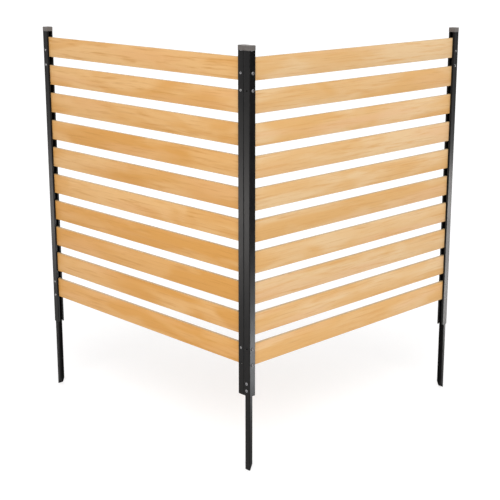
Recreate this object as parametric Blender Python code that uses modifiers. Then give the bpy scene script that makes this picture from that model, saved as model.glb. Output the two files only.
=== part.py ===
"""Two-panel privacy screen: wood-look slats between steel channel posts, joined at a square corner.

Each panel is two slotted channel posts, a ladder of slats and two end caps. The right panel runs along +X
and the left panel along +Y. Their outer faces look towards -Y and -X. Three ground stakes carry the
screen. Lengths are in metres and the origin is below the middle of the screen, at the stake tips.
"""

import math

import bmesh
import bpy
from mathutils import Matrix, Vector

# Overall sizes, measured from the foot of the posts
SCREEN_HEIGHT = 0.991
PANEL_WIDTH = 0.930
STAKE_DEPTH = 0.228

# Fits and overruns
FIT = 0.0003
CUT_OVERRUN = 0.002
WELD_DISTANCE = 0.000001

# Channel posts, with lips that leave a slot for the slats
POST_SIZE = 0.023
POST_WALL = 0.0015
POST_BEND = 0.0022

# End caps
CAP_HEIGHT = 0.014
CAP_EDGE = 0.001
CAP_WALL = 0.002
CAP_TONGUE_DEPTH = 0.013
CAP_TONGUE_WIDTH = 0.006
CAP_TONGUE_THICKNESS = 0.003

# Slats
SLAT_HEIGHT = 0.0625
SLAT_THICKNESS = 0.010
SLAT_EDGE = 0.001
SLAT_LEAST_GAP = 0.025
SLAT_TOP_DROP = 0.0325
SLAT_FOOT_RISE = 0.0895

# Moulded shoes, one round each end of a slat, that fill the channel behind the lips
SHOE_END_WALL = 0.0015
SHOE_HEIGHT_DROP = 0.0005
SHOE_EDGE = 0.0008
SHOE_BOLT_GAP = 0.0005

# Flush screws that hold the shoes and slats to the back flange
SCREW_DIAMETER = 0.0035
SCREW_HEAD_DIAMETER = 0.0068
SCREW_BITE = 0.012

# Bolts and nuts
BOLT_DIAMETER = 0.005
BOLT_HEAD_DIAMETER = 0.0095
BOLT_HEAD_HEIGHT = 0.0027
BOLT_HEAD_RIM = 0.0008
BOLT_END_CHAMFER = 0.0005
BOLT_TAIL = 0.0015
NUT_FLATS = 0.008
NUT_HEIGHT = 0.004

# Joining holes, which every post has in its outer flange
JOIN_FOOT_RISE = 0.094
JOIN_TOP_DROP = 0.074
JOIN_PAIR_SPACING = 0.0465

# Ground stakes
STAKE_WALL = 0.002
STAKE_BEND = 0.0026
STAKE_FLANGE = 0.011
STAKE_REACH = 0.070
STAKE_TIP_RISE = 0.019
STAKE_BOLT_RISE = 0.016
STAKE_BOLT_SPACING = 0.021

# Facets
BEND_STEPS = 3
HOLE_SIDES = 12
SCREW_SIDES = 8
BOLT_SIDES = 12
DOME_STEPS = 3
EDGE_STEPS = 2
SHOE_EDGE_STEPS = 1

# Sizes worked out from those above
POST_INSIDE = POST_SIZE - 2 * POST_WALL
POST_LIP = (POST_SIZE - SLAT_THICKNESS) / 2 - FIT
POST_LENGTH = SCREEN_HEIGHT - CAP_HEIGHT - FIT
JOIN_LINE = POST_SIZE / 2
JOIN_HEIGHTS = (
    JOIN_FOOT_RISE,
    JOIN_FOOT_RISE + JOIN_PAIR_SPACING,
    SCREEN_HEIGHT - JOIN_TOP_DROP - JOIN_PAIR_SPACING,
    SCREEN_HEIGHT - JOIN_TOP_DROP,
)
STAKE_BOLT_HEIGHTS = (STAKE_BOLT_RISE, STAKE_BOLT_RISE + STAKE_BOLT_SPACING)
STAKED_WEB_HEIGHTS = JOIN_HEIGHTS[1:-1] + STAKE_BOLT_HEIGHTS
SHOE_THICKNESS = POST_INSIDE - 2 * FIT
SHOE_HEIGHT = SLAT_HEIGHT - 2 * SHOE_HEIGHT_DROP
SHOE_SETBACK = JOIN_LINE + BOLT_DIAMETER / 2 + SHOE_BOLT_GAP
SHOE_LENGTH = POST_SIZE - POST_WALL - FIT - SHOE_SETBACK
SLAT_LENGTH = PANEL_WIDTH - 2 * (SHOE_SETBACK + SHOE_END_WALL)
SLAT_SPAN = SCREEN_HEIGHT - SLAT_TOP_DROP - SLAT_FOOT_RISE
SLAT_COUNT = int((SLAT_SPAN + SLAT_LEAST_GAP) / (SLAT_HEIGHT + SLAT_LEAST_GAP))
SLAT_PITCH = (SLAT_SPAN - SLAT_HEIGHT) / (SLAT_COUNT - 1)
SLAT_HEIGHTS = [SLAT_FOOT_RISE + SLAT_HEIGHT / 2 + i * SLAT_PITCH for i in range(SLAT_COUNT)]
SCREW_LINE = SHOE_SETBACK + SHOE_LENGTH / 2
HOLE_RADIUS = BOLT_DIAMETER / 2 + FIT
STAKE_WIDTH = POST_INSIDE - 2 * FIT
STAKE_LENGTH = STAKE_DEPTH + STAKE_REACH
LEFT_PANEL_NEAR = POST_SIZE + FIT
LEFT_PANEL_FAR = LEFT_PANEL_NEAR + PANEL_WIDTH
STAKE_BOLT_GRIP = POST_WALL + STAKE_WALL + 3 * FIT
CORNER_BOLT_GRIP = POST_SIZE + POST_WALL + 3 * FIT

# The two ends of a panel: where the web's outer face is, and which way the channel opens
START, END = 1, -1

# Heights of the holes in each post's back flange and in its web
POST_DRILLING = {
    "left_end": ((), STAKED_WEB_HEIGHTS),
    "left_corner": ((), JOIN_HEIGHTS),
    "right_corner": (JOIN_HEIGHTS, STAKED_WEB_HEIGHTS),
    "right_end": ((), STAKED_WEB_HEIGHTS),
}


def clear_scene():
    """Remove every object that the file starts with."""
    for obj in list(bpy.data.objects):
        bpy.data.objects.remove(obj, do_unlink=True)


def new_collection(name):
    collection = bpy.data.collections.new(name)
    bpy.context.scene.collection.children.link(collection)
    return collection


def new_material(name, colour, roughness, metallic):
    material = bpy.data.materials.new(name)
    material.use_nodes = True
    shader = material.node_tree.nodes["Principled BSDF"]
    shader.inputs["Base Color"].default_value = (*colour, 1)
    shader.inputs["Roughness"].default_value = roughness
    shader.inputs["Metallic"].default_value = metallic
    material.diffuse_color = (*colour, 1)
    return material


def new_empty(name, location, turn=0, parent=None):
    """A frame turned about +Z that carries other pieces."""
    empty = bpy.data.objects.new(name, None)
    PARTS.objects.link(empty)
    empty.location = location
    empty.rotation_euler = (0, 0, turn)
    empty.parent = parent
    return empty


def place(name, mesh, material, parent, location=(0, 0, 0), rotation=(0, 0, 0)):
    """One named sub-part, carried by its panel's frame."""
    obj = bpy.data.objects.new(name, mesh)
    PARTS.objects.link(obj)
    if material.name not in mesh.materials:
        mesh.materials.append(material)
    obj.parent = parent
    obj.location = location
    obj.rotation_euler = rotation
    return obj


def place_tool(name, mesh, parent):
    """A shape that a Boolean reads and that isn't a piece of the screen."""
    tool = bpy.data.objects.new(name, mesh)
    CUTTERS.objects.link(tool)
    tool.parent = parent
    tool.hide_render = True
    tool.display_type = "WIRE"
    return tool


def add_boolean(obj, tool, operation):
    modifier = obj.modifiers.new(operation.lower(), "BOOLEAN")
    modifier.operation = operation
    modifier.solver = "EXACT"
    modifier.object = tool


def mesh_from(bm, name):
    """Turn a finished bmesh into mesh data with smooth round sides."""
    bmesh.ops.recalc_face_normals(bm, faces=bm.faces)
    mesh = bpy.data.meshes.new(name)
    bm.to_mesh(mesh)
    bm.free()
    mesh.shade_smooth()
    mesh.set_sharp_from_angle(angle=math.radians(35))
    return mesh


def ease_edges(obj, width, steps):
    ease = obj.modifiers.new("eased_edges", "BEVEL")
    ease.width = width
    ease.segments = steps
    ease.limit_method = "ANGLE"


def remove_tools(tools):
    for tool in tools:
        bpy.data.objects.remove(tool, do_unlink=True)


def evaluated_mesh(obj, name):
    """The object's mesh with its modifiers applied, after which the object is removed."""
    graph = bpy.context.evaluated_depsgraph_get()
    mesh = bpy.data.meshes.new_from_object(obj.evaluated_get(graph))
    mesh.name = name
    bpy.data.objects.remove(obj, do_unlink=True)
    return mesh


def arc(centre, radius, start, end, steps):
    """Points on an arc, angles in quarter turns."""
    angles = [(start + (end - start) * i / steps) * math.pi / 2 for i in range(steps + 1)]
    return [(centre[0] + radius * math.cos(a), centre[1] + radius * math.sin(a)) for a in angles]


def channel_outline(width, depth, wall, bend):
    """U section: the web's outer face on x = 0, the flanges running to x = depth."""
    inner = bend - wall
    outline = [(depth, 0)]
    outline += arc((bend, bend), bend, 3, 2, BEND_STEPS)
    outline += arc((bend, width - bend), bend, 2, 1, BEND_STEPS)
    outline += [(depth, width), (depth, width - wall)]
    outline += arc((bend, width - bend), inner, 1, 2, BEND_STEPS)
    outline += arc((bend, bend), inner, 2, 3, BEND_STEPS)
    outline += [(depth, wall)]
    return outline


def slotted_outline(size, wall, bend, lip):
    """Square section with a slot: the web's outer face on x = 0, the lips returned at x = size."""
    inner, far = bend - wall, size - bend
    centres = ((far, bend), (bend, bend), (bend, far), (far, far))
    outline = [(size, lip)]
    for turn, centre in zip((4, 3, 2, 1), centres):
        outline += arc(centre, bend, turn, turn - 1, BEND_STEPS)
    outline += [(size, size - lip), (size - wall, size - lip)]
    for turn, centre in zip((0, 1, 2, 3), reversed(centres)):
        outline += arc(centre, inner, turn, turn + 1, BEND_STEPS)
    outline += [(size - wall, lip)]
    return outline


def prism(name, outline, length):
    """A flat outline in XY, extruded from z = 0 to z = length and closed."""
    curve = bpy.data.curves.new(name, "CURVE")
    curve.dimensions = "2D"
    curve.fill_mode = "BOTH"
    curve.extrude = length / 2
    spline = curve.splines.new("POLY")
    spline.points.add(len(outline) - 1)
    for point, (x, y) in zip(spline.points, outline):
        point.co = (x, y, 0, 1)
    spline.use_cyclic_u = True
    obj = bpy.data.objects.new(name, curve)
    bpy.context.scene.collection.objects.link(obj)
    mesh = evaluated_mesh(obj, name)
    bpy.data.curves.remove(curve)
    bm = bmesh.new()
    bm.from_mesh(mesh)
    bpy.data.meshes.remove(mesh)
    bmesh.ops.remove_doubles(bm, verts=bm.verts, dist=WELD_DISTANCE)
    bmesh.ops.translate(bm, verts=bm.verts, vec=(0, 0, length / 2))
    return bm


def add_turned(bm, start, end, radius_start, radius_end, sides):
    """A closed cylinder or cone between two points."""
    start, end = Vector(start), Vector(end)
    axis = end - start
    turn = axis.to_track_quat("Z", "Y").to_matrix().to_4x4()
    bmesh.ops.create_cone(
        bm,
        cap_ends=True,
        segments=sides,
        radius1=radius_start,
        radius2=radius_end,
        depth=axis.length,
        matrix=Matrix.Translation((start + end) / 2) @ turn,
    )


def turned(name, profile, sides):
    """A profile of radii and heights, from the top down, turned about Z into a closed solid."""
    mesh = bpy.data.meshes.new(name)
    edges = [(i, i + 1) for i in range(len(profile) - 1)]
    mesh.from_pydata([(x, 0, z) for x, z in profile], edges, [])
    obj = bpy.data.objects.new(name, mesh)
    bpy.context.scene.collection.objects.link(obj)
    turn = obj.modifiers.new("turned", "SCREW")
    turn.steps = sides
    turn.render_steps = sides
    turn.use_merge_vertices = True
    turn.merge_threshold = WELD_DISTANCE
    solid = evaluated_mesh(obj, name)
    bpy.data.meshes.remove(mesh)
    bm = bmesh.new()
    bm.from_mesh(solid)
    bpy.data.meshes.remove(solid)
    return bm


def add_box(bm, low, high):
    """A box between two corners."""
    low, high = Vector(low), Vector(high)
    size = Matrix.Diagonal((*(high - low), 1))
    bmesh.ops.create_cube(bm, size=1, matrix=Matrix.Translation((low + high) / 2) @ size)


def add_copy(bm, mesh, matrix):
    """Add a copy of some mesh data, moved by a matrix."""
    copy = mesh.copy()
    copy.transform(matrix)
    bm.from_mesh(copy)
    bpy.data.meshes.remove(copy)


def in_from(end, distance):
    """The panel's x at a distance in from the web's outer face of the post at that end."""
    return distance if end == START else PANEL_WIDTH - distance


def post_mesh(end):
    """The bent channel before drilling."""
    outline = slotted_outline(POST_SIZE, POST_WALL, POST_BEND, POST_LIP)
    outline = [(in_from(end, x), y) for x, y in outline]
    return mesh_from(prism("post", outline, POST_LENGTH), "post")


def post_holes_mesh(end, back_heights, web_heights):
    """Bolt holes through the outer flange, the back flange and the web, and seats for the slat screws."""
    bm = bmesh.new()
    outside, inside = -CUT_OVERRUN, POST_WALL + CUT_OVERRUN
    flange_x = in_from(end, JOIN_LINE)
    ways = [((flange_x, outside, z), (flange_x, inside, z)) for z in JOIN_HEIGHTS]
    for z in back_heights:
        ways.append(((flange_x, POST_SIZE - inside, z), (flange_x, POST_SIZE - outside, z)))
    for z in web_heights:
        ways.append(((in_from(end, outside), POST_SIZE / 2, z), (in_from(end, inside), POST_SIZE / 2, z)))
    for start, stop in ways:
        add_turned(bm, start, stop, HOLE_RADIUS, HOLE_RADIUS, HOLE_SIDES)
    seat = screw_seat_mesh()
    for z in SLAT_HEIGHTS:
        face = Matrix.Translation((in_from(end, SCREW_LINE), POST_SIZE, z))
        add_copy(bm, seat, face @ Matrix.Rotation(-math.pi / 2, 4, "X"))
    bpy.data.meshes.remove(seat)
    return mesh_from(bm, "post_holes")


def screw_seat_mesh():
    """The countersunk hole for a slat screw, its mouth on z = 0, one fit wider than the screw."""
    head, shank = SCREW_HEAD_DIAMETER / 2 + FIT, SCREW_DIAMETER / 2 + FIT
    bottom = -POST_WALL - CUT_OVERRUN
    profile = [(0, CUT_OVERRUN), (head, CUT_OVERRUN), (head, 0), (shank, -POST_WALL)]
    profile += [(shank, bottom), (0, bottom)]
    return mesh_from(turned("screw_seat", profile, SCREW_SIDES), "screw_seat")


def add_posts(panel, names):
    """The two channel posts of a panel, open towards each other."""
    for name, end in zip(names, (START, END)):
        post = place(f"post_{name}", POST_MESHES[end], BLACK_STEEL, panel)
        holes = place_tool(f"holes_{name}", post_holes_mesh(end, *POST_DRILLING[name]), panel)
        add_boolean(post, holes, "DIFFERENCE")


def slat_mesh():
    """A board with eased edges and, at each end, its shoe and the screw to the back flange."""
    half = Vector((SLAT_LENGTH, SLAT_THICKNESS, SLAT_HEIGHT)) / 2
    board = bpy.data.objects.new("board", box_mesh("board", -half, half))
    bpy.context.scene.collection.objects.link(board)
    ease_edges(board, SLAT_EDGE, EDGE_STEPS)
    tools = []
    for side in (-1, 1):
        shoe = place_tool("slat_shoe", slat_shoe_mesh(), None)
        shoe.location = (side * (PANEL_WIDTH / 2 - SCREW_LINE), 0, 0)
        ease_edges(shoe, SHOE_EDGE, SHOE_EDGE_STEPS)
        screw = place_tool("slat_screw", slat_screw_mesh(), None)
        screw.location = (side * (PANEL_WIDTH / 2 - SCREW_LINE), POST_SIZE / 2, 0)
        screw.rotation_euler = (-math.pi / 2, 0, 0)
        tools += [shoe, screw]
    for tool in tools:
        add_boolean(board, tool, "UNION")
    mesh = evaluated_mesh(board, "slat")
    remove_tools(tools)
    return mesh


def slat_shoe_mesh():
    """The block round a slat's end, wider than the slot and kept behind the post's lips."""
    half = Vector((SHOE_LENGTH, SHOE_THICKNESS, SHOE_HEIGHT)) / 2
    return box_mesh("slat_shoe", -half, half)


def slat_screw_mesh():
    """A countersunk screw with its flat head on z = 0, which lies flush with the back flange."""
    head, shank = SCREW_HEAD_DIAMETER / 2, SCREW_DIAMETER / 2
    tip = -(POST_WALL + FIT + SCREW_BITE)
    profile = [(0, 0), (head, 0), (shank, -POST_WALL), (shank, tip), (0, tip)]
    return mesh_from(turned("slat_screw", profile, SCREW_SIDES), "slat_screw")


def add_slats(panel, side):
    """The ladder of slats, numbered from the top down."""
    for i, z in enumerate(reversed(SLAT_HEIGHTS)):
        middle = (PANEL_WIDTH / 2, POST_SIZE / 2, z)
        place(f"slat_{side}_{i + 1:02d}", SLAT_MESH, WOOD, panel, middle)


def box_mesh(name, low, high):
    bm = bmesh.new()
    add_box(bm, low, high)
    return mesh_from(bm, name)


def cap_mesh():
    """A square moulded cap, centred on the post, its underside on z = 0 and its tongue towards -X."""
    half, ceiling = POST_SIZE / 2, CAP_HEIGHT - CAP_WALL
    hollow, side = half - CAP_WALL, CAP_TONGUE_WIDTH / 2
    grip = POST_WALL + FIT - half
    tongue_low = (grip, -side, -CAP_TONGUE_DEPTH)
    tongue_high = (grip + CAP_TONGUE_THICKNESS, side, ceiling + CAP_WALL / 2)
    cap = bpy.data.objects.new("cap", box_mesh("cap", (-half, -half, 0), (half, half, CAP_HEIGHT)))
    bpy.context.scene.collection.objects.link(cap)
    ease_edges(cap, CAP_EDGE, EDGE_STEPS)
    shapes = (
        ("DIFFERENCE", (-hollow, -hollow, -CUT_OVERRUN), (hollow, hollow, ceiling)),
        ("UNION", tongue_low, tongue_high),
    )
    tools = []
    for operation, low, high in shapes:
        tools.append(place_tool("cap_tool", box_mesh("cap_tool", low, high), None))
        add_boolean(cap, tools[-1], operation)
    mesh = evaluated_mesh(cap, "cap")
    remove_tools(tools)
    return mesh


def turn_for(end):
    """The turn about +Z of a piece that is made with its web side towards -X."""
    return 0 if end == START else math.pi


def add_caps(panel, names):
    """A cap on each post, its tongue pushed in against the web."""
    for name, end in zip(names, (START, END)):
        top = (in_from(end, POST_SIZE / 2), POST_SIZE / 2, SCREEN_HEIGHT - CAP_HEIGHT)
        place(f"cap_{name}", CAP_MESH, GREY_PLASTIC, panel, top, (0, 0, turn_for(end)))


def stake_mesh():
    """The stake's channel, web towards -X, its tip on z = 0 and its width centred on y = 0."""
    outline = channel_outline(STAKE_WIDTH, STAKE_FLANGE, STAKE_WALL, STAKE_BEND)
    outline = [(x, y - STAKE_WIDTH / 2) for x, y in outline]
    return mesh_from(prism("stake", outline, STAKE_LENGTH), "stake")


def stake_cuts_mesh():
    """The slanted ends of the flanges and the two bolt holes."""
    slope = STAKE_TIP_RISE / (STAKE_FLANGE - STAKE_WALL)
    edge = STAKE_FLANGE + CUT_OVERRUN
    wedge = [
        (STAKE_WALL, -CUT_OVERRUN),
        (STAKE_WALL, 0),
        (edge, slope * (edge - STAKE_WALL)),
        (edge, -CUT_OVERRUN),
    ]
    width = STAKE_WIDTH + 2 * CUT_OVERRUN
    bm = prism("stake_cuts", wedge, width)
    upright = Matrix.Rotation(math.pi / 2, 4, "X") @ Matrix.Translation((0, 0, -width / 2))
    bmesh.ops.transform(bm, matrix=upright, verts=bm.verts)
    for rise in STAKE_BOLT_HEIGHTS:
        z = STAKE_DEPTH + rise
        outer, inner = (-CUT_OVERRUN, 0, z), (STAKE_WALL + CUT_OVERRUN, 0, z)
        add_turned(bm, outer, inner, HOLE_RADIUS, HOLE_RADIUS, HOLE_SIDES)
    return mesh_from(bm, "stake_cuts")


def add_stake(panel, end, name):
    """A stake inside the foot of a post, held to the post's web by two bolts and nuts."""
    seat = (in_from(end, POST_WALL + FIT), POST_SIZE / 2, -STAKE_DEPTH)
    stake = place(f"stake_{name}", STAKE_MESH, BLACK_STEEL, panel, seat, (0, 0, turn_for(end)))
    cuts = place_tool(f"stake_cuts_{name}", STAKE_CUTS, panel)
    cuts.location = seat
    cuts.rotation_euler = (0, 0, turn_for(end))
    add_boolean(stake, cuts, "DIFFERENCE")
    outward = (0, -end * math.pi / 2, 0)
    nut_seat = POST_WALL + STAKE_WALL + 2 * FIT
    for level, z in zip(("lower", "upper"), STAKE_BOLT_HEIGHTS):
        head = (in_from(end, -FIT), POST_SIZE / 2, z)
        nut = (in_from(end, nut_seat), POST_SIZE / 2, z)
        place(f"stake_bolt_{name}_{level}", STAKE_BOLT_MESH, BOLT_STEEL, panel, head, outward)
        place(f"stake_nut_{name}_{level}", NUT_MESH, BOLT_STEEL, panel, nut, outward)


def bolt_mesh(name, grip):
    """A domed bolt turned about Z: the head above z = 0, the shank below it."""
    shank, head = BOLT_DIAMETER / 2, BOLT_HEAD_DIAMETER / 2
    length = grip + FIT + NUT_HEIGHT + BOLT_TAIL
    dome = BOLT_HEAD_HEIGHT - BOLT_HEAD_RIM
    profile = [(head * math.sin(a), BOLT_HEAD_RIM + dome * math.cos(a)) for a in dome_angles()]
    profile += [(head, 0), (shank, 0), (shank, BOLT_END_CHAMFER - length)]
    profile += [(shank - BOLT_END_CHAMFER, -length), (0, -length)]
    return mesh_from(turned(name, profile, BOLT_SIDES), name)


def dome_angles():
    return [i / DOME_STEPS * math.pi / 2 for i in range(DOME_STEPS + 1)]


def nut_mesh():
    """A hexagon nut with its bearing face on z = 0, running to -Z, and a plain bore."""
    corner = NUT_FLATS / math.sqrt(3)
    bm = bmesh.new()
    add_turned(bm, (0, 0, -NUT_HEIGHT), (0, 0, 0), corner, corner, 6)
    nut = bpy.data.objects.new("nut", mesh_from(bm, "nut"))
    bpy.context.scene.collection.objects.link(nut)
    bm = bmesh.new()
    low, high = (0, 0, -NUT_HEIGHT - CUT_OVERRUN), (0, 0, CUT_OVERRUN)
    add_turned(bm, low, high, HOLE_RADIUS, HOLE_RADIUS, BOLT_SIDES)
    bore = place_tool("nut_bore", mesh_from(bm, "nut_bore"), None)
    add_boolean(nut, bore, "DIFFERENCE")
    mesh = evaluated_mesh(nut, "nut")
    remove_tools([bore])
    return mesh


def add_corner_fasteners(panel):
    """Long bolts through the right panel's corner post into the web of the left panel's."""
    outward = (math.pi / 2, 0, 0)
    nut_y = LEFT_PANEL_NEAR + POST_WALL + FIT
    for i, z in enumerate(reversed(JOIN_HEIGHTS)):
        place(f"corner_bolt_{i + 1}", CORNER_BOLT_MESH, BOLT_STEEL, panel, (JOIN_LINE, -FIT, z), outward)
        place(f"corner_nut_{i + 1}", NUT_MESH, BOLT_STEEL, panel, (JOIN_LINE, nut_y, z), outward)


def add_panel(panel, side, names):
    add_posts(panel, names)
    add_slats(panel, side)
    add_caps(panel, names)


clear_scene()
PARTS = new_collection("privacy_screen")
CUTTERS = new_collection("cutters")

BLACK_STEEL = new_material("black_powder_coat", (0.018, 0.018, 0.02), 0.32, 0.0)
WOOD = new_material("wood_look_slat", (0.77, 0.41, 0.15), 0.5, 0.0)
GREY_PLASTIC = new_material("grey_plastic", (0.14, 0.135, 0.135), 0.5, 0.0)
BOLT_STEEL = new_material("black_zinc", (0.05, 0.05, 0.055), 0.35, 0.9)

POST_MESHES = {end: post_mesh(end) for end in (START, END)}
SLAT_MESH = slat_mesh()
CAP_MESH = cap_mesh()
STAKE_MESH = stake_mesh()
STAKE_CUTS = stake_cuts_mesh()
STAKE_BOLT_MESH = bolt_mesh("stake_bolt", STAKE_BOLT_GRIP)
CORNER_BOLT_MESH = bolt_mesh("corner_bolt", CORNER_BOLT_GRIP)
NUT_MESH = nut_mesh()

foot = new_empty("screen", (-PANEL_WIDTH / 2, -LEFT_PANEL_FAR / 2, STAKE_DEPTH))
right_panel = new_empty("right_panel", (0, 0, 0), 0, foot)
left_panel = new_empty("left_panel", (0, LEFT_PANEL_FAR, 0), -math.pi / 2, foot)

add_panel(right_panel, "right", ("right_corner", "right_end"))
add_panel(left_panel, "left", ("left_end", "left_corner"))
add_stake(left_panel, START, "left")
add_stake(right_panel, START, "corner")
add_stake(right_panel, END, "right")
add_corner_fasteners(right_panel)
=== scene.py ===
"""Looks, light and camera for the two-panel slatted privacy screen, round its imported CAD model."""

import math

import bmesh
import bpy
from mathutils import Euler, Matrix, Vector


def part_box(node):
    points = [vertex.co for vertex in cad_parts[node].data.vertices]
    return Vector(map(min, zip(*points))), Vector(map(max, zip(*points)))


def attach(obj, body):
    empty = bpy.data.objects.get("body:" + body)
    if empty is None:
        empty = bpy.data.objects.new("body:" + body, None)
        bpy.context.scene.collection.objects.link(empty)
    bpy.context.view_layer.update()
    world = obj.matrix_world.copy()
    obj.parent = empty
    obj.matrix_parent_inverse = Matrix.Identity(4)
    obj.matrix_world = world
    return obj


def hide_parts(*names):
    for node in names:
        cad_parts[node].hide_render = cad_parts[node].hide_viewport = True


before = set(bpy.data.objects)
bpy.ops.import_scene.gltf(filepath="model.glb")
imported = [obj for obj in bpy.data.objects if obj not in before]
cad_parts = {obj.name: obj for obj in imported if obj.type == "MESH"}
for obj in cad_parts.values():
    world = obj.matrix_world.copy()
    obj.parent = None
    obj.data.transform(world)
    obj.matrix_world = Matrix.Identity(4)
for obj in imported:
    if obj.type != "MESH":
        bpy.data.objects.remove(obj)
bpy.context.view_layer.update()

MM = 0.001

# The camera, fitted to the photograph's outline of the screen. Sensor and lens are in millimetres.
CAMERA_PLACE = (-2.611, -2.681, 1.495)
CAMERA_TURN = math.radians(-44.25)
CAMERA_DIP = math.radians(13.68)
CAMERA_SENSOR = 36
CAMERA_LENS = 83.4
CAMERA_SHIFT_Y = -0.06

WHITE = (1.0, 1.0, 1.0)
BLACK = (0.0, 0.0, 0.0)

# The floor and the world, and how white they look to rays that see them directly.
FLOOR_SIZE = 60.0
FLOOR_COLOURS = ((0.62, 0.62, 0.625), (0.65, 0.65, 0.655))
FLOOR_SPECKLE = {"scale": 3.0, "detail": 4.0, "roughness": 0.6}
FLOOR_ROUGHNESS = 0.9
FLOOR_SPECULAR = 0.1
FLOOR_GLOW = 0.42
WORLD_LIGHT = 0.52
WORLD_SEEN = 1.0

# Soft suns: the direction that the light comes from, and the angle in degrees that each is wide.
SUNS = {
    "key": {
        "back": (-0.52, -0.54, 0.62), "strength": 1.98, "angle": 50, "colour": (1.0, 0.995, 0.985),
    },
    "side": {
        "back": (0.45, -0.80, 0.40), "strength": 0.32, "angle": 50, "colour": (0.99, 0.995, 1.0),
    },
    "rear": {
        "back": (0.40, 0.75, 0.60), "strength": 0.7, "angle": 60, "colour": (0.99, 0.995, 1.0),
    },
}

# Strips that only show as gloss, on the coated nodes whose names begin as "receivers" says. Each
# strip shines from its place in the direction of "aim".
STRIPS = {
    "right_strip": {
        "place": (0.46, -0.86, 0.10), "aim": (-0.15, 1.0, 0.10), "size": (1.25, 0.20),
        "power": 17.0, "colour": (0.94, 0.97, 1.0),
        "receivers": ("post_left", "post_right_corner", "stake_left", "stake_corner"),
    },
    "end_strip": {
        "place": (0.90, -0.92, 0.30), "aim": (-0.68, 0.70, 0.20), "size": (0.35, 0.70),
        "power": 14.0, "colour": (1.0, 0.975, 0.955),
        "receivers": ("post_right_end", "stake_right"),
    },
    "left_strip": {
        "place": (-1.20, 0.85, 0.42), "aim": (1.0, -0.30, 0.05), "size": (1.1, 0.40),
        "power": 11.0, "colour": (1.0, 0.95, 0.92),
        "receivers": ("post", "stake"),
    },
}

# A black card that only shows as gloss, in the corner's front flange: middle, width and height.
CARD_PLACE = (0.20, -1.08, 0.86)
CARD_SIZE = (0.90, 1.22)

# The part's own numbers, as in its CAD. Each panel has the axis that its slats run along.
PANELS = {"left": "Y", "right": "X"}
SLATS = 10
SLAT_THICKNESS = 10 * MM
SLAT_EDGE = 1 * MM
SHOE_THICKNESS = 19.4 * MM
SHOE_HEIGHT = 61.5 * MM
SHOE_LENGTH = 6.7 * MM
SHOE_END_WALL = 1.5 * MM
SHOE_EDGE = 0.8 * MM
SCREW_LINE = 17.85 * MM
SCREW_HEAD_RADIUS = 3.4 * MM
SCREW_RADIUS = 1.75 * MM
SCREW_BITE = 12 * MM
BOLT_RADIUS = 2.5 * MM
BOLT_HEAD_RADIUS = 4.75 * MM
BOLT_HEAD_HEIGHT = 2.7 * MM
BOLT_HEAD_RIM = 0.8 * MM
BOLT_CHAMFER = 0.5 * MM
NUT_FLATS = 8 * MM
NUT_HEIGHT = 4 * MM
JOIN_HEIGHTS = (94 * MM, 140.5 * MM, 870.5 * MM, 917 * MM)

# Bolts: the hexagon socket, the rim under the head and the thread.
SOCKET_FLATS = 3 * MM
SOCKET_DEPTH = 1.5 * MM
SOCKET_RIM_RADIUS = 2.1 * MM
SOCKET_EASE = 0.1 * MM
SOCKET_EASE_DEPTH = 0.15 * MM
SOCKET_POINT = 0.3 * MM
BOLT_HEAD_EDGE = 0.15 * MM
BOLT_NECK = 0.5 * MM
THREAD_PITCH = 0.8 * MM
THREAD_DEPTH = 0.4 * MM
THREAD_LENGTH = 16 * MM

# Nuts: the bore and its mouths, and the corners turned off at both ends.
NUT_PLAY = 0.05 * MM
NUT_MOUTH = 0.35 * MM
NUT_MOUTH_DEPTH = 0.4 * MM
NUT_FACE_INSET = 0.2 * MM
NUT_CORNER_SLOPE = math.tan(math.radians(30))

# Slat screws: the cross recess, the head's edge, and the point as shares of the shank's radius.
CROSS_REACH = 1.9 * MM
CROSS_HALF_WIDTH = 0.45 * MM
CROSS_DEPTH = 1.4 * MM
CROSS_TAPER = 0.7
CROSS_EASE = 0.08 * MM
CROSS_EASE_DEPTH = 0.05 * MM
SCREW_HEAD_INSET = 0.3 * MM
SCREW_HEAD_EDGE = 0.12 * MM
SCREW_POINT_LENGTH = 2.5
SCREW_POINT_WIDTH = 0.2

# Shoes: their play on the slat, the mouth's slant, and the least turn in radians of an eased edge.
SHOE_PLAY = 0.1 * MM
SHOE_MOUTH = 0.5 * MM
SHOE_CORNER = 1.0

# Eyelets in the outer flanges' joining holes. Each post has the axis that its flange faces and its
# first hole with an eyelet: the lowest one at the corner is bare.
EYELET_POSTS = {"left_end": ("X", 0), "left_corner": ("X", 1), "right_end": ("Y", 0)}
EYELET_BORE = 1.9 * MM
EYELET_BARREL = 2.65 * MM
EYELET_ROLL = 0.7 * MM
EYELET_LENGTH = 1.9 * MM
EYELET_GAP = 0.05 * MM

# How finely the meshes are divided, how round an eased edge is, and where the shading breaks.
SIDES = 48
DOME_RINGS = 6
THREAD_RINGS = 4
EYELET_RINGS = 8
EDGE_SEGMENTS = 3
EDGE_PROFILE = 0.5
ROUND_SHARP = math.radians(35)
BOARD_SHARP = math.radians(40)
ANGLES = [2 * math.pi * i / SIDES for i in range(SIDES)]

# The range that most of a noise lies in, and how a sharp edge is told from a flat face.
NOISE_BULK = (0.3, 0.7)
EDGE_SAMPLES = 4
EDGE_LIKENESS = (0.99, 0.85)

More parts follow.
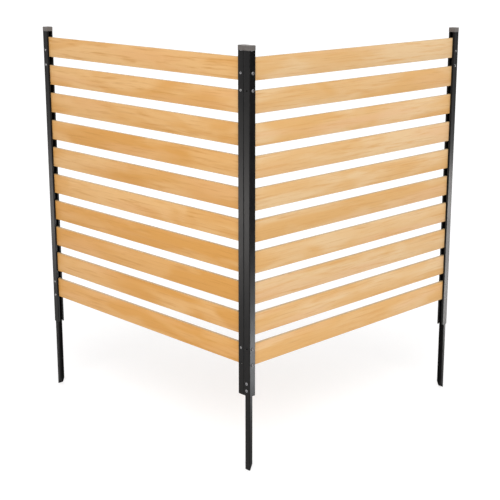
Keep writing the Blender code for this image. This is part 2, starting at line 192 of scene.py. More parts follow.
# Tones of each panel's slats, from the palest patches to the deepest streaks. They are the wood's
# own colour, with a painted sheen in the right panel's paler, greyer tones.
WOOD_TONES_AND_SHEEN = {
    "left": {
        "pale": (0.850, 0.505, 0.205),
        "gold": (0.740, 0.360, 0.083),
        "deep": (0.630, 0.280, 0.050),
        "pink": (0.820, 0.450, 0.180),
    },
    "right": {
        "pale": (0.810, 0.560, 0.300),
        "gold": (0.755, 0.435, 0.160),
        "deep": (0.700, 0.355, 0.100),
        "pink": (0.800, 0.490, 0.255),
    },
}
WOOD_LINE = (0.560, 0.255, 0.060)
WOOD_END = (0.50, 0.27, 0.10)
# Painted shade on the slats' narrow top and bottom sides.
WOOD_NARROW_SHADE = (0.40, 0.30, 0.17)
# Painted shade along the slats' eased edges.
WOOD_EDGE_SHADE = (0.46, 0.31, 0.16)

# How far each slat's own tone and brightness go, and how much painted shade deepens a panel's lowest
# slats.
WOOD_OWN_TONE = 0.35
WOOD_OWN_VALUE = (0.975, 1.02)
LOWER_SHADE = {"left": 0.45, "right": 0.12}

# Seeds of the panels and of a slat's second random number. The rows of slats are counted from a
# little below the lowest one, by a share of the pitch.
PANEL_SEEDS = {"left": 0, "right": 50}
OTHER_SEED = 31.7
ROW_MARGIN = 0.125

# Layers of the grain in cells a metre, along and across a slat, and their moves from slat to slat.
GRAIN = {
    "patches": {
        "lengthwise": 3.2, "crosswise": 16.0, "detail": 2.0, "roughness": 0.5, "distortion": 0.6,
    },
    "streaks": {
        "lengthwise": 7.0, "crosswise": 150.0, "detail": 3.0, "roughness": 0.6, "distortion": 0.3,
    },
    "lines": {"lengthwise": 9.0, "crosswise": 420.0, "detail": 2.0, "roughness": 0.55},
    "fibres": {"lengthwise": 70.0, "crosswise": 2400.0, "detail": 2.0, "roughness": 0.6},
    "pink": {"lengthwise": 2.1, "crosswise": 22.0, "detail": 1.0, "roughness": 0.5},
}
GRAIN_SHIFT = 9.0
GRAIN_STEP = 7.3

# The range of each layer's noise that tints a slat, and the most that it tints by.
PATCH_RANGE = (0.32, 0.66)
PINK_RANGE, PINK_SHARE = (0.50, 0.72), 0.65
STREAK_RANGE, STREAK_SHARE = (0.50, 0.76), 0.70
LINE_RANGE, LINE_SHARES = (0.57, 0.80), {"left": 0.35, "right": 0.55}
FIBRE_RANGE, FIBRE_SHARE = (0.35, 0.75), 0.10

# How far a face looks up or down before it takes the painted shade of a slat's narrow side, and how
# far lengthwise before it is a slat's end.
NARROW_SHADE_RANGE, NARROW_SHADE_SHARE = (0.45, 0.85), 0.75
END_RANGE = (0.6, 0.8)
# The radius and share of the painted shade along the slats' edges.
WOOD_EDGE_SHADE_RADIUS, WOOD_EDGE_SHADE_SHARE = 1.6 * MM, 0.55

# The slats' roughness from fibres and patches, their gloss, and their relief.
WOOD_FIBRE_ROUGHNESS = (0.46, 0.56)
WOOD_PATCH_ROUGHNESS = (-0.03, 0.03)
WOOD_SPECULAR = 0.4
WOOD_RELIEF = {"fibres": 0.35, "lines": 0.65}
WOOD_BUMP = {"strength": 0.25, "distance": 0.25 * MM}

# Powder coat: orange peel, grit, dark and pale clouds, and a paler colour on the edges, partly wear
# and partly a painted highlight.
COAT_PEEL = {"scale": 900.0, "detail": 2.0}
COAT_GRIT = {"scale": 3600.0, "detail": 1.0}
COAT_CLOUD = {"scale": 14.0, "detail": 3.0, "roughness": 0.6}
COAT_WEAR = {"scale": 120.0, "detail": 3.0, "roughness": 0.65}
COAT_DARK = (0.0035, 0.0033, 0.0034)
COAT_PALE = (0.007, 0.0066, 0.0064)
COAT_SPECK = (0.03, 0.029, 0.028)
COAT_SPECK_RANGE, COAT_SPECK_SHARE = (0.62, 0.8), 0.5
COAT_WEAR_AND_HIGHLIGHT, COAT_WEAR_AND_HIGHLIGHT_SHARE = (0.095, 0.092, 0.09), 0.6
COAT_EDGE_RADIUS, COAT_WEAR_RANGE = 1.2 * MM, (0.42, 0.62)
COAT_PEEL_ROUGHNESS = (0.33, 0.41)
COAT_CLOUD_ROUGHNESS = (-0.03, 0.05)
COAT_SPECULAR = 0.13
COAT_GRIT_RELIEF = 0.25
COAT_BUMP = {"strength": 0.12, "distance": 0.08 * MM}

# Plastic: dark and pale flow, a paler grain, and paler rubbed edges.
PLASTIC_GRAIN = {"scale": 2600.0, "detail": 2.0, "roughness": 0.6}
PLASTIC_FLOW = {"scale": 90.0, "detail": 2.0, "distortion": 0.8}
PLASTIC_DARK = (0.115, 0.102, 0.094)
PLASTIC_PALE = (0.15, 0.134, 0.124)
PLASTIC_SPECK = (0.21, 0.195, 0.185)
PLASTIC_SPECK_RANGE, PLASTIC_SPECK_SHARE = (0.4, 0.8), 0.25
PLASTIC_RUBBED, PLASTIC_RUBBED_SHARE = (0.26, 0.245, 0.235), 0.35
PLASTIC_EDGE_RADIUS = 0.8 * MM
PLASTIC_ROUGHNESS = (0.48, 0.62)
PLASTIC_BUMP = {"strength": 0.2, "distance": 0.06 * MM}

# Plating: its film, the dark and pale tone on bolts, nuts and screws and on the rubbed eyelets, and
# brighter worn edges.
ZINC_FILM = {"scale": 420.0, "detail": 3.0, "roughness": 0.6, "distortion": 0.5}
ZINC_TONES = ((0.16, 0.157, 0.164), (0.29, 0.285, 0.295))
RUBBED_ZINC_TONES = ((0.36, 0.355, 0.36), (0.55, 0.54, 0.54))
ZINC_WORN, ZINC_WORN_SHARE = (0.62, 0.615, 0.62), 0.6
ZINC_EDGE_RADIUS = 0.3 * MM
ZINC_METALLIC = 0.85
ZINC_ROUGHNESS = (0.16, 0.28)
ZINC_BUMP = {"strength": 0.1, "distance": 0.05 * MM}


# Node materials.

def new_material(name):
    """A node material with a Principled shader, and its tree."""
    material = bpy.data.materials.new(name)
    material.use_nodes = True
    tree = material.node_tree
    tree.nodes.clear()
    output = tree.nodes.new("ShaderNodeOutputMaterial")
    shader = tree.nodes.new("ShaderNodeBsdfPrincipled")
    tree.links.new(shader.outputs["BSDF"], output.inputs["Surface"])
    return material, tree, shader


def feed(tree, socket, value):
    """Link a socket to another, or set its constant."""
    if isinstance(value, bpy.types.NodeSocket):
        tree.links.new(value, socket)
    elif value is not None:
        socket.default_value = value


def rgba(colour):
    """A colour with its alpha, where it is three numbers and no socket."""
    return (*colour, 1.0) if isinstance(colour, tuple) else colour


def part_place(tree):
    """The place on the part, in metres."""
    return tree.nodes.new("ShaderNodeTexCoord").outputs["Object"]


def split(tree, vector):
    """X, Y and Z of a vector."""
    node = tree.nodes.new("ShaderNodeSeparateXYZ")
    feed(tree, node.inputs[0], vector)
    return node.outputs


def joined(tree, x, y, z):
    """A vector of three numbers."""
    node = tree.nodes.new("ShaderNodeCombineXYZ")
    for socket, value in zip(node.inputs, (x, y, z)):
        feed(tree, socket, value)
    return node.outputs[0]


def sums(tree, operation, a, b=None, clamp=False):
    """One step of arithmetic on numbers."""
    node = tree.nodes.new("ShaderNodeMath")
    node.operation = operation
    node.use_clamp = clamp
    for socket, value in zip(node.inputs, (a, b)):
        feed(tree, socket, value)
    return node.outputs[0]


def noise(tree, vector, scale, detail, roughness=0.5, distortion=0.0):
    """Soft noise, mostly within NOISE_BULK."""
    node = tree.nodes.new("ShaderNodeTexNoise")
    feed(tree, node.inputs["Vector"], vector)
    node.inputs["Scale"].default_value = scale
    node.inputs["Detail"].default_value = detail
    node.inputs["Roughness"].default_value = roughness
    node.inputs["Distortion"].default_value = distortion
    return node.outputs["Fac"]


def chance(tree, seed):
    """A number from 0 to 1 that follows from a seed."""
    node = tree.nodes.new("ShaderNodeTexWhiteNoise")
    node.noise_dimensions = "1D"
    feed(tree, node.inputs["W"], seed)
    return node.outputs["Value"]


def spread(tree, value, source, target=(0.0, 1.0), smooth=False):
    """Map one range of numbers to another, clamped."""
    node = tree.nodes.new("ShaderNodeMapRange")
    node.interpolation_type = "SMOOTHSTEP" if smooth else "LINEAR"
    feed(tree, node.inputs["Value"], value)
    node.inputs["From Min"].default_value, node.inputs["From Max"].default_value = source
    node.inputs["To Min"].default_value, node.inputs["To Max"].default_value = target
    return node.outputs["Result"]


def blend(tree, share, first, second):
    """Mix two colours by a share."""
    node = tree.nodes.new("ShaderNodeMix")
    node.data_type = "RGBA"
    factor, _, _, _, _, _, a, b = node.inputs[:8]
    feed(tree, factor, share)
    feed(tree, a, rgba(first))
    feed(tree, b, rgba(second))
    return next(output for output in node.outputs if output.type == "RGBA")


def tint(tree, colour, mask, share, tone):
    """Tint a colour where a mask is near 1, by a share."""
    return blend(tree, sums(tree, "MULTIPLY", mask, share), colour, tone)


def bump(tree, height, strength, distance):
    """A normal for small relief."""
    node = tree.nodes.new("ShaderNodeBump")
    node.inputs["Strength"].default_value = strength
    node.inputs["Distance"].default_value = distance
    feed(tree, node.inputs["Height"], height)
    return node.outputs["Normal"]


def edge_mask(tree, radius):
    """Near 1 along sharp outer and inner edges, 0 on flat faces."""
    soft = tree.nodes.new("ShaderNodeBevel")
    soft.samples = EDGE_SAMPLES
    soft.inputs["Radius"].default_value = radius
    flat = tree.nodes.new("ShaderNodeNewGeometry")
    likeness = tree.nodes.new("ShaderNodeVectorMath")
    likeness.operation = "DOT_PRODUCT"
    feed(tree, likeness.inputs[0], soft.outputs["Normal"])
    feed(tree, likeness.inputs[1], flat.outputs["True Normal"])
    return spread(tree, likeness.outputs["Value"], EDGE_LIKENESS)


def face_direction(tree, axis):
    """How far a face looks along one axis, without its sign."""
    normal = tree.nodes.new("ShaderNodeNewGeometry").outputs["True Normal"]
    return sums(tree, "ABSOLUTE", split(tree, normal)[axis])


# Finishes.

def wood(side, axis):
    """Cedar-toned slats: long streaks and growth lines along the grain, each slat its own tone."""
    material, tree, shader = new_material(f"wood_{side}")
    place = split(tree, part_place(tree))
    along, across = (place["X"], place["Y"]) if axis == "X" else (place["Y"], place["X"])
    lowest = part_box(f"slat_{side}_{SLATS:02d}")[0].z
    pitch = (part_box(f"slat_{side}_01")[0].z - lowest) / (SLATS - 1)
    above = sums(tree, "SUBTRACT", place["Z"], lowest - pitch * ROW_MARGIN)
    row = sums(tree, "FLOOR", sums(tree, "DIVIDE", above, pitch))
    slat = sums(tree, "ADD", row, PANEL_SEEDS[side])
    luck = chance(tree, slat)
    other_luck = chance(tree, sums(tree, "ADD", slat, OTHER_SEED))
    shifted = sums(tree, "ADD", along, sums(tree, "MULTIPLY", luck, GRAIN_SHIFT))

    def grain(lengthwise, crosswise, **settings):
        """Noise that is stretched along the slat and differs from slat to slat."""
        height = sums(tree, "MULTIPLY", place["Z"], crosswise)
        vector = joined(
            tree,
            sums(tree, "MULTIPLY", shifted, lengthwise),
            sums(tree, "MULTIPLY", across, crosswise),
            sums(tree, "ADD", height, sums(tree, "MULTIPLY", slat, GRAIN_STEP)),
        )
        return noise(tree, vector, scale=1.0, **settings)

    layers = {name: grain(**settings) for name, settings in GRAIN.items()}
    # The right panel's tones hold a painted sheen.
    tones_and_sheen = WOOD_TONES_AND_SHEEN[side]
    lower = LOWER_SHADE[side]
    own = spread(tree, luck, (0.0, 1.0), (-WOOD_OWN_TONE, WOOD_OWN_TONE))
    # Painted shade: the slats darken towards a panel's lowest row.
    own = sums(tree, "ADD", own, spread(tree, row, (0.0, SLATS - 1), (lower, -lower)))
    deeper = spread(tree, layers["patches"], PATCH_RANGE, smooth=True)
    colour = blend(tree, sums(tree, "ADD", deeper, own, clamp=True), tones_and_sheen["pale"], tones_and_sheen["gold"])
    for layer, source, most, tone, smooth in (
        ("pink", PINK_RANGE, PINK_SHARE, tones_and_sheen["pink"], True),
        ("streaks", STREAK_RANGE, STREAK_SHARE, tones_and_sheen["deep"], True),
        ("lines", LINE_RANGE, LINE_SHARES[side], WOOD_LINE, False),
        ("fibres", FIBRE_RANGE, FIBRE_SHARE, WOOD_LINE, False),
    ):
        share = spread(tree, layers[layer], source, (0.0, most), smooth)
        colour = blend(tree, share, colour, tone)

    shade = tree.nodes.new("ShaderNodeHueSaturation")
    feed(tree, shade.inputs["Color"], colour)
    feed(tree, shade.inputs["Value"], spread(tree, other_luck, (0.0, 1.0), WOOD_OWN_VALUE))
    colour = shade.outputs["Color"]

    # Painted shade on the slats' narrow top and bottom sides.
    narrow_shade = spread(tree, face_direction(tree, "Z"), NARROW_SHADE_RANGE, (0.0, NARROW_SHADE_SHARE))
    colour = blend(tree, narrow_shade, colour, WOOD_NARROW_SHADE)
    colour = blend(tree, spread(tree, face_direction(tree, axis), END_RANGE), colour, WOOD_END)
    # Painted shade along the slats' edges.
    colour = tint(tree, colour, edge_mask(tree, WOOD_EDGE_SHADE_RADIUS), WOOD_EDGE_SHADE_SHARE, WOOD_EDGE_SHADE)
    feed(tree, shader.inputs["Base Color"], colour)

    rough = spread(tree, layers["fibres"], NOISE_BULK, WOOD_FIBRE_ROUGHNESS)
    patchy = spread(tree, layers["patches"], NOISE_BULK, WOOD_PATCH_ROUGHNESS)
    feed(tree, shader.inputs["Roughness"], sums(tree, "ADD", rough, patchy))
    shader.inputs["Specular IOR Level"].default_value = WOOD_SPECULAR
    relief = sums(
        tree, "ADD",
        *(sums(tree, "MULTIPLY", layers[name], share) for name, share in WOOD_RELIEF.items()),
    )
    feed(tree, shader.inputs["Normal"], bump(tree, relief, **WOOD_BUMP))
    return material


def powder_coat():
    """Satin black paint with a fine orange-peel skin, and paler edges that are partly wear, partly a
    painted highlight on the bends.
    """
    material, tree, shader = new_material("black_powder_coat_finish")
    place = part_place(tree)
    peel = noise(tree, place, **COAT_PEEL)
    grit = noise(tree, place, **COAT_GRIT)
    cloud = noise(tree, place, **COAT_CLOUD)
    worn = spread(tree, noise(tree, place, **COAT_WEAR), COAT_WEAR_RANGE)
    edge = sums(tree, "MULTIPLY", edge_mask(tree, COAT_EDGE_RADIUS), worn)
    colour = blend(tree, spread(tree, cloud, NOISE_BULK), COAT_DARK, COAT_PALE)
    specks = spread(tree, grit, COAT_SPECK_RANGE, (0.0, COAT_SPECK_SHARE))
    colour = blend(tree, specks, colour, COAT_SPECK)
    # Paler edges: partly wear, partly a painted highlight.
    colour = tint(tree, colour, edge, COAT_WEAR_AND_HIGHLIGHT_SHARE, COAT_WEAR_AND_HIGHLIGHT)
    feed(tree, shader.inputs["Base Color"], colour)
    rough = spread(tree, peel, NOISE_BULK, COAT_PEEL_ROUGHNESS)
    cloudy = spread(tree, cloud, NOISE_BULK, COAT_CLOUD_ROUGHNESS)
    feed(tree, shader.inputs["Roughness"], sums(tree, "ADD", rough, cloudy))
    shader.inputs["Specular IOR Level"].default_value = COAT_SPECULAR
    height = sums(tree, "ADD", peel, sums(tree, "MULTIPLY", grit, COAT_GRIT_RELIEF))
    feed(tree, shader.inputs["Normal"], bump(tree, height, **COAT_BUMP))
    return material


def moulded_plastic():
    """Grey nylon of the push-in caps, with a spark-eroded grain and paler rubbed edges."""
    material, tree, shader = new_material("grey_plastic_finish")
    place = part_place(tree)
    grain = noise(tree, place, **PLASTIC_GRAIN)
    flow = noise(tree, place, **PLASTIC_FLOW)
    colour = blend(tree, spread(tree, flow, NOISE_BULK), PLASTIC_DARK, PLASTIC_PALE)
    specks = spread(tree, grain, PLASTIC_SPECK_RANGE, (0.0, PLASTIC_SPECK_SHARE))
    colour = blend(tree, specks, colour, PLASTIC_SPECK)
    edge = edge_mask(tree, PLASTIC_EDGE_RADIUS)
    colour = tint(tree, colour, edge, PLASTIC_RUBBED_SHARE, PLASTIC_RUBBED)
    feed(tree, shader.inputs["Base Color"], colour)
    feed(tree, shader.inputs["Roughness"], spread(tree, grain, NOISE_BULK, PLASTIC_ROUGHNESS))
    feed(tree, shader.inputs["Normal"], bump(tree, grain, **PLASTIC_BUMP))
    return material


def black_zinc(name, dark, pale):
    """Plated steel with a cloudy film between two tones, and bright worn edges."""
    material, tree, shader = new_material(name)
    film = noise(tree, part_place(tree), **ZINC_FILM)
    colour = blend(tree, spread(tree, film, NOISE_BULK), dark, pale)
    colour = tint(tree, colour, edge_mask(tree, ZINC_EDGE_RADIUS), ZINC_WORN_SHARE, ZINC_WORN)
    feed(tree, shader.inputs["Base Color"], colour)
    shader.inputs["Metallic"].default_value = ZINC_METALLIC
    feed(tree, shader.inputs["Roughness"], spread(tree, film, NOISE_BULK, ZINC_ROUGHNESS))
    feed(tree, shader.inputs["Normal"], bump(tree, film, **ZINC_BUMP))
    return material


# Meshes.

def polar(radius, angle, height):
    """A point at a distance from the Z axis."""
    return radius * math.cos(angle), radius * math.sin(angle), height


def circle(radius, height):
    """A round ring of points."""
    return [polar(radius, a, height) for a in ANGLES]


def hexagon_radius(angle, flats):
    """Distance from the middle to a hexagon's side, at an angle."""
    return flats / 2 / math.cos(angle % (math.pi / 3) - math.pi / 6)


def hexagon(flats, height):
    """A ring of points on a hexagon."""
    return [polar(hexagon_radius(a, flats), a, height) for a in ANGLES]


def nut_outline(face, height, slope):
    """A ring of points on the nut's sides, at a slope from its round face towards the corners."""
    radii = [hexagon_radius(a, NUT_FLATS) for a in ANGLES]
    return [polar(r, a, height + (r - face) * slope) for r, a in zip(radii, ANGLES)]


def cross(reach, half_width, height):
    """A ring of points on the outline of a cross recess."""
    ring = []
    for a in ANGLES:
        off = abs((a + math.pi / 4) % (math.pi / 2) - math.pi / 4)
        side = half_width / math.sin(off) if off > 0 else reach
        ring.append(polar(min(reach, side), a, height))
    return ring


def thread(start, end):
    """Rings of a bolt's helical thread, running from one height down to another."""
    rings = []
    steps = max(1, round((start - end) / THREAD_PITCH * THREAD_RINGS))
    for i in range(steps + 1):
        z = start - (start - end) * i / steps
        fade = min(1.0, i / THREAD_RINGS, (steps - i) / THREAD_RINGS)
        waves = [0.5 - 0.5 * math.cos(2 * math.pi * z / THREAD_PITCH - a) for a in ANGLES]
        radii = [BOLT_RADIUS - THREAD_DEPTH * wave * fade for wave in waves]
        rings.append([polar(radius, a, z) for radius, a in zip(radii, ANGLES)])
    return rings


def finished(name, bm, sharp):
    """The mesh of a bmesh, shaded smooth but for edges sharper than an angle."""
    mesh = bpy.data.meshes.new(name)
    bm.to_mesh(mesh)
    bm.free()
    mesh.shade_smooth()
    mesh.set_sharp_from_angle(angle=sharp)
    return mesh


def ease_edges(bm, edges, width):
    """Round some edges of a bmesh."""
    bmesh.ops.bevel(
        bm, geom=edges, offset=width, offset_type="OFFSET",
        segments=EDGE_SEGMENTS, profile=EDGE_PROFILE, affect="EDGES", clamp_overlap=True,
    )


def add_band(bm, upper, lower):
    """Faces between two loops of as many vertices each."""
    for i in range(len(upper)):
        bm.faces.new((upper[i - 1], lower[i - 1], lower[i], upper[i]))


def loft(name, rings, top=None, bottom=None):
    """A closed mesh through rings of as many points each, from the top down.

    A point closes each end. Without these points the last ring meets the first, as in a nut.
    """
    bm = bmesh.new()
    loops = [[bm.verts.new(point) for point in ring] for ring in rings]
    for upper, lower in zip(loops, loops[1:]):
        add_band(bm, upper, lower)
    if top is None:
        add_band(bm, loops[-1], loops[0])
    else:
        for tip, loop in ((bm.verts.new(top), loops[0]), (bm.verts.new(bottom), loops[-1])):
            for i in range(len(loop)):
                bm.faces.new((tip, loop[i - 1], loop[i]))
    bmesh.ops.recalc_face_normals(bm, faces=bm.faces)
    return finished(name, bm, ROUND_SHARP)


def bolt_mesh(name, length):
    """A button-head bolt with a hexagon socket and a thread: head above z = 0, shank below."""
    dome = BOLT_HEAD_HEIGHT - BOLT_HEAD_RIM
    rim = math.asin(SOCKET_RIM_RADIUS / BOLT_HEAD_RADIUS)
    top = BOLT_HEAD_RIM + dome * math.cos(rim)
    floor = BOLT_HEAD_HEIGHT - SOCKET_DEPTH
    rings = [
        hexagon(SOCKET_FLATS, floor),
        hexagon(SOCKET_FLATS, top - SOCKET_EASE_DEPTH),
        circle(SOCKET_FLATS / math.sqrt(3) + SOCKET_EASE, top),
    ]
    for i in range(DOME_RINGS + 1):
        a = rim + (math.pi / 2 - rim) * i / DOME_RINGS
        rings.append(circle(BOLT_HEAD_RADIUS * math.sin(a), BOLT_HEAD_RIM + dome * math.cos(a)))
    thread_end = BOLT_CHAMFER - length
    rings += [
        circle(BOLT_HEAD_RADIUS, BOLT_HEAD_EDGE),
        circle(BOLT_HEAD_RADIUS - BOLT_HEAD_EDGE, 0),
        circle(BOLT_RADIUS, 0),
        *thread(min(-BOLT_NECK, thread_end + THREAD_LENGTH), thread_end),
        circle(BOLT_RADIUS - BOLT_CHAMFER, -length),
    ]
    return loft(name, rings, (0, 0, floor - SOCKET_POINT), (0, 0, -length))


def nut_mesh(name):
    """A hexagon nut with both ends' corners turned off: bearing face on z = 0, running to -Z."""
    face = NUT_FLATS / 2 - NUT_FACE_INSET
    bore = BOLT_RADIUS + NUT_PLAY
    rings = [
        circle(bore, -NUT_MOUTH_DEPTH),
        circle(bore + NUT_MOUTH, 0),
        circle(face, 0),
        nut_outline(face, 0, -NUT_CORNER_SLOPE),
        nut_outline(face, -NUT_HEIGHT, NUT_CORNER_SLOPE),
        circle(face, -NUT_HEIGHT),
        circle(bore + NUT_MOUTH, -NUT_HEIGHT),
        circle(bore, NUT_MOUTH_DEPTH - NUT_HEIGHT),
    ]
    return loft(name, rings)


def screw_mesh(name):
    """A countersunk screw with a cross recess, its flat head's top on z = 0."""
    cone = SCREW_HEAD_RADIUS - SCREW_RADIUS
    tip = cone + SCREW_BITE
    rings = [
        cross(CROSS_TAPER * CROSS_REACH, CROSS_TAPER * CROSS_HALF_WIDTH, -CROSS_DEPTH),
        cross(CROSS_REACH, CROSS_HALF_WIDTH, -CROSS_EASE_DEPTH),
        cross(CROSS_REACH + CROSS_EASE, CROSS_HALF_WIDTH + CROSS_EASE, 0),
        circle(SCREW_HEAD_RADIUS - SCREW_HEAD_INSET, 0),
        circle(SCREW_HEAD_RADIUS, -SCREW_HEAD_EDGE),
        circle(SCREW_RADIUS, -cone - SCREW_HEAD_EDGE),
        circle(SCREW_RADIUS, SCREW_POINT_LENGTH * SCREW_RADIUS - tip),
        circle(SCREW_POINT_WIDTH * SCREW_RADIUS, -tip),
    ]
    return loft(name, rings, (0, 0, -CROSS_DEPTH), (0, 0, -tip))


def eyelet_mesh(name):
    """A plated eyelet for a joining hole: its rolled rim lies on z = 0, its barrel goes below."""
    rings = [circle(EYELET_BORE, -EYELET_LENGTH)]
    for i in range(EYELET_RINGS + 1):
        a = math.pi * i / EYELET_RINGS
        radius = EYELET_BORE + EYELET_ROLL * (1 - math.cos(a))
        rings.append(circle(radius, EYELET_GAP + EYELET_ROLL * math.sin(a)))
    rings += [circle(EYELET_BARREL, EYELET_GAP), circle(EYELET_BARREL, -EYELET_LENGTH)]
    return loft(name, rings)


def slat_mesh(name, low, high):
    """A slat between two corners, its edges eased."""
    size = Matrix.Diagonal((*(high - low), 1))
    bm = bmesh.new()
    bmesh.ops.create_cube(bm, size=1, matrix=Matrix.Translation((low + high) / 2) @ size)
    ease_edges(bm, list(bm.edges), SLAT_EDGE)
    return finished(name, bm, BOARD_SHARP)


def shoe_mesh(name):
    """A U-shaped shoe: its end wall on x = 0, its mouth towards +X, a cheek on each side."""
    outer, pocket = SHOE_THICKNESS / 2, SLAT_THICKNESS / 2 + SHOE_PLAY
    lip = pocket + SHOE_MOUTH
    slant = SHOE_LENGTH - SHOE_MOUTH
    outline = [(0, -outer), (SHOE_LENGTH, -outer), (SHOE_LENGTH, -lip), (slant, -pocket)]
    outline += [(SHOE_END_WALL, -pocket), (SHOE_END_WALL, pocket)]
    outline += [(slant, pocket), (SHOE_LENGTH, lip), (SHOE_LENGTH, outer), (0, outer)]
    bm = bmesh.new()
    top, foot = SHOE_HEIGHT / 2, -SHOE_HEIGHT / 2
    upper, lower = ([bm.verts.new((x, y, z)) for x, y in outline] for z in (top, foot))
    bm.faces.new(upper)
    bm.faces.new(lower)
    add_band(bm, upper, lower)
    bmesh.ops.recalc_face_normals(bm, faces=bm.faces)
    corners = []
    for edge in bm.edges:
        outside = max(abs(vert.co.y) for vert in edge.verts) > lip
        if outside and edge.calc_face_angle() > SHOE_CORNER:
            corners.append(edge)
    ease_edges(bm, corners, SHOE_EDGE)
    return finished(name, bm, BOARD_SHARP)


def rectangle(name, corners):
    """A flat mesh of four corners."""
    mesh = bpy.data.meshes.new(name)
    mesh.from_pydata(corners, [], [(0, 1, 2, 3)])
    return mesh


# Pieces.

def add_object(name, data):
    """An object in the scene."""
    item = bpy.data.objects.new(name, data)
    bpy.context.scene.collection.objects.link(item)
    return item


def add_piece(name, mesh, material, matrix=Matrix.Identity(4), stands_for=()):
    """A visible piece that rides on the screen's one body."""
    if not mesh.materials:
        mesh.materials.append(material)
    piece = add_object(name, mesh)
    piece.matrix_world = matrix
    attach(piece, "root")
    if stands_for:
        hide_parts(*stands_for)


def looking(direction, place):
    """A matrix that puts a fastener's own +Z along a direction."""
    turn = Vector(direction).to_track_quat("Z", "Y").to_matrix().to_4x4()
    return Matrix.Translation(place) @ turn


def add_slats(side, axis, wood_finish, plastic, metal, shoe, screw):
    """Ten slats, each with a shoe on both ends and a screw through both posts' back flanges."""
    along, inward = Vector((1, 0, 0)), Vector((0, 1, 0))
    if axis == "Y":
        along, inward = inward, along
    for i in range(1, SLATS + 1):
        node = f"slat_{side}_{i:02d}"
        low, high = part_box(node)
        middle = (low + high) / 2
        core = middle + inward * ((low - middle) @ inward + SHOE_THICKNESS / 2)
        half = (high - low) / 2
        half -= along * SHOE_END_WALL + inward * (half @ inward - SLAT_THICKNESS / 2)
        board = slat_mesh(node, core - half, core + half)
        add_piece(f"wood_{node}", board, wood_finish, stands_for=(node,))
        for end in ("corner", "end"):
            post_low, post_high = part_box(f"post_{side}_{end}")
            outward = 1 if (post_low + post_high) @ along / 2 > middle @ along else -1
            web = (post_high if outward > 0 else post_low) @ along
            tip = (high if outward > 0 else low) @ along
            mouth = Matrix.Translation(core + along * (tip - core @ along))
            turn = (-outward * along).to_track_quat("X", "Z").to_matrix().to_4x4()
            name = f"{side}_{i:02d}_{end}"
            add_piece(f"slat_shoe_{name}", shoe, plastic, mouth @ turn)
            seat = middle + inward * ((high - middle) @ inward)
            place = seat + along * (web - outward * SCREW_LINE - seat @ along)
            add_piece(f"slat_screw_{name}", screw, metal, looking(inward, place))


def fastener_axis(bolt, nut):
    """The way a bolt's head looks, the number of that axis, and where the head bears on it."""
    low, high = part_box(bolt)
    nut_low, nut_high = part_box(nut)
    away = (low + high) / 2 - (nut_low + nut_high) / 2
    axis = max(range(3), key=lambda i: abs(away[i]))
    side = math.copysign(1, away[axis])
    direction = Vector([side if i == axis else 0 for i in range(3)])
    return direction, axis, (high if side > 0 else low)[axis] - side * BOLT_HEAD_HEIGHT


def add_fasteners(metal):
    """Detailed bolts and nuts in the places of the plain ones."""
    bolt_shapes, nut_shape = {}, nut_mesh("nut")
    for bolt in sorted(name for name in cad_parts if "_bolt_" in name):
        kind = bolt.split("_bolt_")[0]
        nut = bolt.replace("_bolt_", "_nut_")
        direction, axis, bearing = fastener_axis(bolt, nut)
        low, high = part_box(bolt)
        if kind not in bolt_shapes:
            bolt_shapes[kind] = bolt_mesh(f"{kind}_bolt", (high - low)[axis] - BOLT_HEAD_HEIGHT)
        place = (low + high) / 2
        place[axis] = bearing
        matrix = looking(direction, place)
        add_piece(f"detailed_{bolt}", bolt_shapes[kind], metal, matrix, (bolt,))
        low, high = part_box(nut)
        place = (low + high) / 2
        place[axis] = (high if direction[axis] > 0 else low)[axis]
        matrix = looking(direction, place)
        add_piece(f"detailed_{nut}", nut_shape, metal, matrix, (nut,))


def add_eyelets(metal):
    """An eyelet in each open joining hole of the outer flanges."""
    mesh = eyelet_mesh("joining_eyelet")
    for post, (axis, first) in EYELET_POSTS.items():
        low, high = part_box(f"post_{post}")
        axis = "XY".index(axis)
        outward = Vector((0, 0, 0))
        outward[axis] = -1
        for number, height in enumerate(JOIN_HEIGHTS[first:], first + 1):
            place = (low + high) / 2
            place[axis] = low[axis]
            place.z = low.z + height
            name = f"joining_eyelet_{post}_{number}"
            add_piece(name, mesh, metal, looking(outward, place))


def dress(finishes, otherwise):
    """Give each CAD node the finish of its kind, the first word of its name."""
    for name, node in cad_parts.items():
        for slot in node.material_slots:
            slot.material = finishes.get(name.split("_")[0], otherwise)


# Floor, light and camera.

def seen_directly(tree):
    """1 for rays that see the background: from the camera, in a reflection or through glass."""
    path = tree.nodes.new("ShaderNodeLightPath").outputs
    seen = sums(tree, "MAXIMUM", path["Is Camera Ray"], path["Is Glossy Ray"])
    return sums(tree, "MAXIMUM", seen, path["Is Transmission Ray"])


def add_floor():
    """A pale floor that keeps the screen's shadow and looks white where it is seen."""
    x = y = FLOOR_SIZE / 2
    mesh = rectangle("floor", [(-x, -y, 0), (x, -y, 0), (x, y, 0), (-x, y, 0)])
    floor = add_object("floor", mesh)
    material, tree, shader = new_material("pale_floor")
    speckle = noise(tree, part_place(tree), **FLOOR_SPECKLE)
    feed(tree, shader.inputs["Base Color"], blend(tree, speckle, *FLOOR_COLOURS))
    shader.inputs["Roughness"].default_value = FLOOR_ROUGHNESS
    shader.inputs["Specular IOR Level"].default_value = FLOOR_SPECULAR
    shader.inputs["Emission Color"].default_value = rgba(WHITE)
    glow = sums(tree, "MULTIPLY", seen_directly(tree), FLOOR_GLOW)
    feed(tree, shader.inputs["Emission Strength"], glow)
    mesh.materials.append(material)


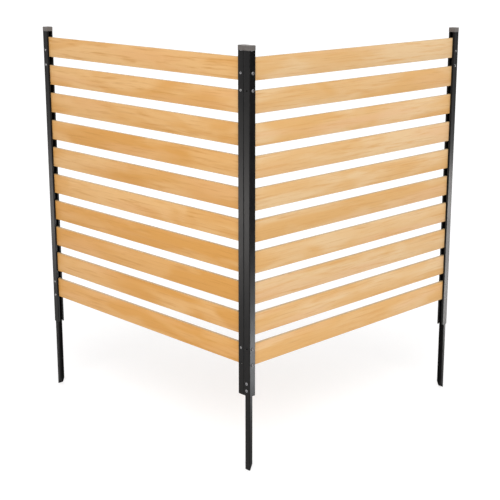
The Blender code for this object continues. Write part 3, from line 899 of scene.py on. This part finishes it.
def add_world():
    """Even light from all round, which looks white where it is seen."""
    world = bpy.data.worlds.new("studio")
    bpy.context.scene.world = world
    world.use_nodes = True
    tree = world.node_tree
    back = tree.nodes["Background"]
    back.inputs["Color"].default_value = rgba(WHITE)
    strength = spread(tree, seen_directly(tree), (0.0, 1.0), (WORLD_LIGHT, WORLD_SEEN))
    feed(tree, back.inputs["Strength"], strength)


def add_lamp(name, kind, strength, colour, back):
    """A lamp whose light comes from the direction back."""
    data = bpy.data.lights.new(name, kind)
    data.energy = strength
    data.color = colour
    lamp = add_object(name, data)
    lamp.rotation_euler = back.to_track_quat("Z", "Y").to_euler()
    return lamp


def add_suns():
    """The lamps that light the whole scene."""
    for name, sun in SUNS.items():
        lamp = add_lamp(name, "SUN", sun["strength"], sun["colour"], Vector(sun["back"]))
        lamp.data.angle = math.radians(sun["angle"])


def add_strips():
    """The lamps that only show in the gloss of the coated nodes they are linked to."""
    for name, strip in STRIPS.items():
        receivers = bpy.data.collections.new(f"{name}_receivers")
        for node_name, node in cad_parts.items():
            if node_name.startswith(strip["receivers"]):
                receivers.objects.link(node)
        lamp = add_lamp(name, "AREA", strip["power"], strip["colour"], -Vector(strip["aim"]))
        lamp.location = strip["place"]
        lamp.data.shape = "RECTANGLE"
        lamp.data.size, lamp.data.size_y = strip["size"]
        lamp.visible_camera = False
        lamp.visible_diffuse = False
        lamp.light_linking.receiver_collection = receivers


def add_card():
    """The black card, unseen except in gloss."""
    x, z = CARD_SIZE[0] / 2, CARD_SIZE[1] / 2
    mesh = rectangle("card", [(-x, 0, -z), (x, 0, -z), (x, 0, z), (-x, 0, z)])
    material, _, shader = new_material("black_card")
    shader.inputs["Base Color"].default_value = rgba(BLACK)
    shader.inputs["Specular IOR Level"].default_value = 0
    mesh.materials.append(material)
    card = add_object("card", mesh)
    card.location = CARD_PLACE
    card.visible_camera = False
    card.visible_diffuse = False
    card.visible_shadow = False
    card.visible_transmission = False


def add_camera():
    """The photograph's camera."""
    data = bpy.data.cameras.new("camera")
    data.sensor_width = CAMERA_SENSOR
    data.lens = CAMERA_LENS
    data.shift_y = CAMERA_SHIFT_Y
    camera = add_object("camera", data)
    camera.location = CAMERA_PLACE
    camera.rotation_euler = Euler((math.pi / 2 - CAMERA_DIP, 0, CAMERA_TURN))
    bpy.context.scene.camera = camera


def add_studio():
    """Camera, light and floor."""
    bpy.context.scene.view_settings.view_transform = "Standard"
    add_camera()
    add_world()
    add_suns()
    add_strips()
    add_floor()
    add_card()


def add_pieces():
    """The finishes, and every piece that stands for a CAD node or goes with one."""
    metal = black_zinc("black_zinc_finish", *ZINC_TONES)
    rubbed_metal = black_zinc("rubbed_zinc_finish", *RUBBED_ZINC_TONES)
    paint = powder_coat()
    plastic = moulded_plastic()
    dress({"post": paint, "stake": paint, "cap": plastic}, metal)
    shoe = shoe_mesh("slat_shoe")
    screw = screw_mesh("slat_screw")
    for side, axis in PANELS.items():
        add_slats(side, axis, wood(side, axis), plastic, metal, shoe, screw)
    add_fasteners(metal)
    add_eyelets(rubbed_metal)


add_studio()
add_pieces()
